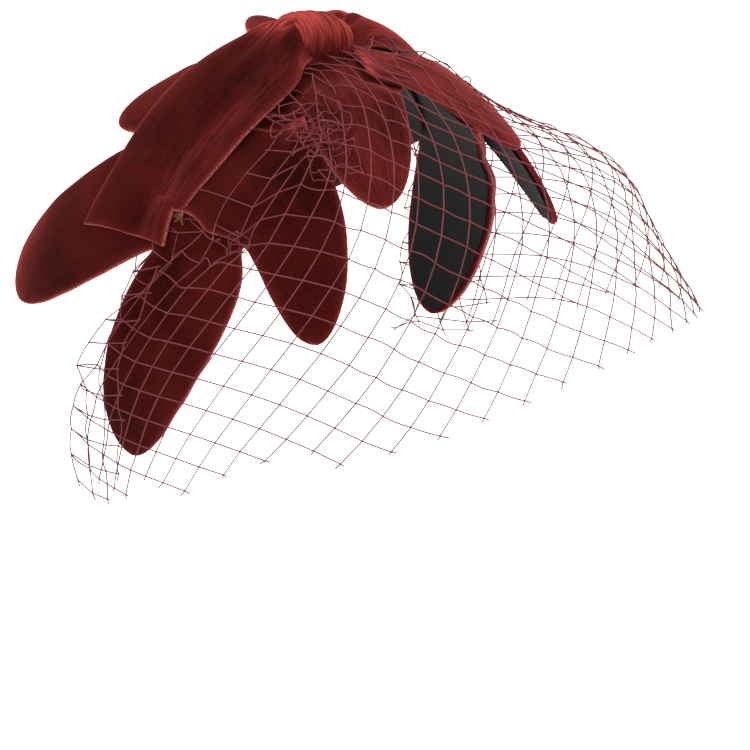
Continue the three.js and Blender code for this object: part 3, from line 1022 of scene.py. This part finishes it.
def veilSurface():
    # grid of points, left end to right end and hem to sewn edge, both ends folded back
    cut = veilCut
    rows = cut["rows"]
    sewn = [np.array(overDome(r[1:3], r[3])) for r in rows]
    under = [np.array(overDome((r[1], r[2] - cut["underBow"]), r[3] - cut["underDrop"])) for r in rows]
    rise = evenSpline([r[4] for r in rows])
    aside = evenSpline([r[1] for r in rows])

    def ring(azimuth, radius, z):
        turn = math.radians(azimuth)
        return np.array((-radius * math.sin(turn), -radius * math.cos(turn), z))
    shoulder = [ring(r[0], r[5], r[6]) for r in rows]
    hem = [ring(r[0], r[7], r[8]) for r in rows]
    fine = np.linspace(0, 1, cut["fineSamples"][0])
    runs = runsAlong(np.array([softCurve(hem, t) for t in fine]))
    shares = np.linspace(-cut["foldBack"], 1 + cut["foldBack"], cut["samples"][0])
    falling = np.linspace(0, 1, cut["fineSamples"][1])
    grid, asides = [], []
    for share in shares:
        inside = min(max(share, -share), 2 - share)
        t = np.interp(inside * runs[-1], runs, fine)
        top, bend, end = softCurve(sewn, t), softCurve(shoulder, t), softCurve(hem, t)
        swell = (top + bend) / 2
        swell = swell + np.array(domeNormal(Vector(swell))) * rise(t)
        stations = [end, (bend + end) / 2, bend, swell, top, softCurve(under, t)]
        points = byLength(np.array([softCurve(stations, u) for u in falling]), cut["samples"][1])
        folded = abs(share - inside)
        if folded > 0:
            lift = cut["foldLift"] * ease(folded, 0, cut["foldBack"])
            points = np.array([p + np.array(domeNormal(Vector(p))) * lift for p in points])
        grid.append(points)
        asides.append(aside(t))
    return np.array(grid), shares, np.array(asides), runs[-1]


def flatCut(grid, shares, asides, hemLength):
    # where each surface point lay on the flat net: a straight hem in front that turns up to both ends,
    # and more net at each tack than between them
    cut = veilCut
    dense = np.linspace(*cut["hemSamples"])
    along = (dense - 0.5) * 2
    u = np.clip((np.abs(along) - cut["turnFrom"]) / (1 - cut["turnFrom"]), 0, 1)
    angle = np.radians(cut["turnUp"]) * u * np.sign(along)
    step = (dense[1] - dense[0]) * hemLength / cut["hemStretch"]
    hemX = np.cumsum(np.cos(angle)) * step
    hemY = np.cumsum(np.sin(angle)) * step
    hemX -= hemX[len(dense) // 2]
    hemY -= hemY[len(dense) // 2]

    def layFlat(share, up):
        turn = np.interp(share, dense, angle)
        x = np.interp(share, dense, hemX) - np.sin(turn) * up
        y = np.interp(share, dense, hemY) + np.cos(turn) * up
        return np.stack([x, y], axis=-1)

    def steps(points, axis):
        return np.linalg.norm(np.gradient(points, axis=axis), axis=-1)
    rise = steps(grid, 1)
    fall = np.cumsum(rise, axis=1) - rise[:, :1]
    even = np.broadcast_to(shares[:, None], fall.shape)
    topFlat = np.cumsum(steps(layFlat(shares, fall[:, -1]), 0))
    topSewn = np.cumsum(steps(grid[:, -1], 0))
    extra = max(topFlat[-1] - topSewn[-1], 0)
    bunch = sum(np.tanh((asides - tack) / cut["tackWidth"]) for tack in cut["tacks"])
    bunch = (bunch - bunch[0]) / (bunch[-1] - bunch[0])
    sewnShare = np.interp(topSewn + extra * bunch, topFlat, shares)
    gather = np.exp(-(fall[:, -1:] - fall) / cut["tackReach"])
    share = even + (sewnShare[:, None] - even) * gather
    narrow = np.clip(steps(grid, 0) / np.maximum(steps(layFlat(share, fall), 0), 1e-6), *cut["widths"])
    tall = np.sqrt(2 - narrow ** 2)  # a cell that is drawn in grows in height
    up = np.cumsum(rise / tall, axis=1)
    spread = cut["even"]
    weights = np.exp(-(np.arange(-3 * spread, 3 * spread + 1) / spread) ** 2)
    padded = np.pad(up - up[:, :1], ((3 * spread, 3 * spread), (0, 0)), "edge")
    up = np.stack([np.convolve(level, weights / weights.sum(), "valid") for level in padded.T], axis=1)
    return layFlat(share, up)


def netKnots(grid, flat):
    # lattice knots that fall on the cut, with their places on the surface and shares of the fall
    pitch = veilCut["cell"] / math.sqrt(2)
    quads = [np.stack([t[:-1, :-1], t[1:, :-1], t[1:, 1:], t[:-1, 1:]]) for t in (flat, grid)]
    least, most = quads[0].min(0), quads[0].max(0)
    low = np.floor(flat.min((0, 1)) / pitch).astype(int)
    high = np.ceil(flat.max((0, 1)) / pitch).astype(int)
    knots = {}
    for j in range(low[1], high[1] + 1):
        for i in range(low[0] + (low[0] + j) % 2, high[0] + 1, 2):
            aim = np.array((i * pitch, j * pitch + veilCut["hemStart"]))
            for a, b in np.argwhere(((least <= aim) & (aim <= most)).all(-1)):
                spot = spotInQuad(quads[0][:, a, b], quads[1][:, a, b], aim)
                if spot is not None:
                    knots[(i, j)] = (spot, (b + 0.5) / (veilCut["samples"][1] - 1))
                    break
    return knots


def spotInQuad(lain, hung, aim):
    for corners in ((0, 1, 2), (0, 2, 3)):
        p, q = lain[list(corners)], hung[list(corners)]
        sides = np.array([p[1] - p[0], p[2] - p[0]]).T
        if abs(np.linalg.det(sides)) < 1e-9:
            continue
        u, v = np.linalg.solve(sides, aim - p[0])
        if min(u, v) > -1e-6 and u + v < 1 + 1e-6:
            return q[0] + (q[1] - q[0]) * u + (q[2] - q[0]) * v
    return None


def settleNet(spots, pairs, held, tops):
    # strands draw in to their length, and the net stays clear of the velvet
    cut = veilCut
    spots = spots.copy()
    goal = spots.copy()
    outs = np.array([domeNormal(Vector(p)) for p in tops])
    count = np.bincount(pairs.ravel(), minlength=len(spots))[:, None] + 0.01
    free = (~held)[:, None]
    every = cut["clearEvery"]
    for turn in range(cut["rounds"]):
        run = spots[pairs[:, 1]] - spots[pairs[:, 0]]
        length = np.maximum(np.linalg.norm(run, axis=1), 1e-6)
        over = length - cut["cell"]
        over = np.where(over > 0, over, cut["push"] * over)
        push = run * (0.5 * over / length)[:, None]
        move = np.zeros_like(spots)
        np.add.at(move, pairs[:, 0], push)
        np.add.at(move, pairs[:, 1], -push)
        spots += free * (cut["pull"] * move / count + cut["hold"] * (goal - spots))
        if turn % every == every - 1:
            for k in np.flatnonzero(~held):
                apart = spots[k] - tops
                near = int((apart ** 2).sum(1).argmin())
                height = float(apart[near] @ outs[near])
                if height < cut["clear"] and np.linalg.norm(apart[near]) < cut["clearReach"]:
                    spots[k] += outs[near] * (cut["clear"] - height)
    return spots


tacking = {
    # degrees aside and ahead and lift, reach of the pull and share left at the tack,
    # cells of folded net and their pitch
    "spots": [
        ((25.2, 17, 10), (9, 0.4), (3, 3.6)), ((26.6, 22.2, 9.5), (14, 0.22), (3, 3.4)),
        ((22.6, 23.6, 11), (12, 0.35), (4, 3.8)), ((26.2, 28.4, 11), (12, 0.3), (4, 4.0)),
        ((51.7, 21.1, 7.5), (30, 0.25), (2, 3.2)),
    ],
    "sewn": 3.2,
    "crumple": 1.3,
    "turn": 0.4,
    "over": 0.1,  # of the pitch of the folded net
    "stray": 0.4,  # of the same
    "kept": 0.8,  # share of its strands that lie on top
    "slack": 0.7,
    "thread": 0.18,  # radius
    "seed": 23,
}


def gatherTacks(spots, held):
    # net drawn in to where it is sewn between the leaves
    rng = np.random.default_rng(tacking["seed"])
    for (aside, ahead, lift), (reach, left), folded in tacking["spots"]:
        tack = np.array(overDome((aside, ahead), lift))
        away = spots - tack
        far = np.linalg.norm(away, axis=1) / reach
        near = far < 1
        drawn = left + (1 - left) * far[near] ** 2
        crumpled = rng.normal(0, tacking["crumple"], (near.sum(), 3)) * (1 - far[near])[:, None]
        spots[near] = tack + away[near] * drawn[:, None] + crumpled
        held |= np.linalg.norm(spots - tack, axis=1) < tacking["sewn"]


def makeTackBunches(thread):
    # loose folds of net on each tack
    rng = random.Random(tacking["seed"])
    curve = threadCurve("tackThreads", tacking["thread"])
    for (aside, ahead, lift), pull, (cells, pitch) in tacking["spots"]:
        tack = overDome((aside, ahead), lift)
        out = domeNormal(tack)
        turn = Matrix.Rotation(rng.uniform(-tacking["turn"], tacking["turn"]), 3, out)
        side = turn @ out.cross(Vector((0, 0, 1))).normalized()
        ways = side, out.cross(side), out
        knots = {}
        for i in range(cells + 1):
            for j in range(cells + 1):
                even = i - cells / 2, j - cells / 2, tacking["over"]
                shares = [k + rng.uniform(-1, 1) * tacking["stray"] for k in even]
                knots[i, j] = tack + sum((way * share * pitch for way, share in zip(ways, shares)), Vector())
        for (i, j), knot in knots.items():
            for name in ((i + 1, j), (i, j + 1)):
                if name not in knots or rng.random() > tacking["kept"]:
                    continue
                bow = Vector([rng.uniform(-1, 1) * tacking["slack"] for axis in range(3)])
                addBowed(curve, knot, knots[name], bow)
    wear(placeObject("net_tack_bunches", meshFromCurve(curve)), thread, "net")
    print("tack bunches done")


def makeVeil(thread, leaves):
    cut = veilCut
    rng = random.Random(cut["seed"])
    grid, shares, asides, hemLength = veilSurface()
    knots = netKnots(grid, flatCut(grid, shares, asides, hemLength))
    names = list(knots)
    number = {name: k for k, name in enumerate(names)}
    spots = np.array([knots[name][0] for name in names])
    for k, spot in enumerate(spots):
        spots[k] += [cut["wander"] * ripple(spot, cut["wanderSize"], s) for s in cut["wanderSeeds"]]
    held = np.array([knots[name][1] > cut["sewnFrom"] for name in names])
    pairs = np.array([
        (number[i, j], number[i + side, j + 1])
        for i, j in names for side in (-1, 1) if (i + side, j + 1) in number
    ])
    apart = np.linalg.norm(spots[pairs[:, 0]] - spots[pairs[:, 1]], axis=1)
    pairs = pairs[apart < cut["longest"] * cut["cell"]]
    gatherTacks(spots, held)
    tops = np.array([v.co / mm for leaf in leaves for v in leaf.data.vertices])
    spots = [Vector(p) for p in settleNet(spots, pairs, held, tops)]
    curve = threadCurve("netThreads", cut["thread"])
    showing, most = cut["slackBow"]
    for first, second in pairs:
        here, there = spots[first], spots[second]
        chord = (there - here).length
        slack = max(cut["cell"] - chord, 0)
        height = math.sqrt(0.375 * chord * slack)  # of a parabola with that slack
        height = min(height, most) * rng.uniform(*cut["bowing"])
        height *= showing if slack < cut["slackFrom"] else 1
        out = domeNormal((here + there) / 2)
        side = (there - here).cross(out).normalized()
        lean = rng.uniform(-cut["lean"], cut["lean"])
        addBowed(curve, here, there, (out * math.cos(lean) + side * math.sin(lean)) * height)
    for name, spot, pinned in zip(names, spots, held):
        for side, up in ((1, -1), (-1, -1), (1, 1), (-1, 1)):
            across = (name[0] - side, name[1] - up)
            if pinned or (name[0] + side, name[1] + up) in number or across not in number:
                continue
            way = (spot - spots[number[across]]).normalized()
            loose = Vector([rng.uniform(-cut["stubStray"], cut["stubStray"]) for axis in range(3)])
            addThread(curve, [spot, spot + (way + loose) * rng.uniform(*cut["stub"])])
    bm = bmesh.new()
    bm.from_mesh(meshFromCurve(curve))
    for spot in spots:
        bmesh.ops.create_icosphere(bm, subdivisions=1, radius=cut["knot"] * mm,
                                   matrix=Matrix.Translation(spot * mm))
    veil = meshObject("net_veil", bm)
    for polygon in veil.data.polygons:
        polygon.use_smooth = True
    wear(veil, thread, "net", "veil")
    print("veil:", len(spots), "knots,", len(pairs), "strands,", len(veil.data.polygons), "faces")


setStudio(*setCamera())
velvet = velvetCloth(pileGroup())
lining = liningCloth()
thread = twistedThread("mauveThread")
makeBand(lining)
leaves = makeLeaves(velvet, lining)
makeRibbon(velvet)
makeRavel(twistedThread("goldenThread"))
makeKnot(velvet)
makeVeil(thread, leaves)
makeTackBunches(thread)
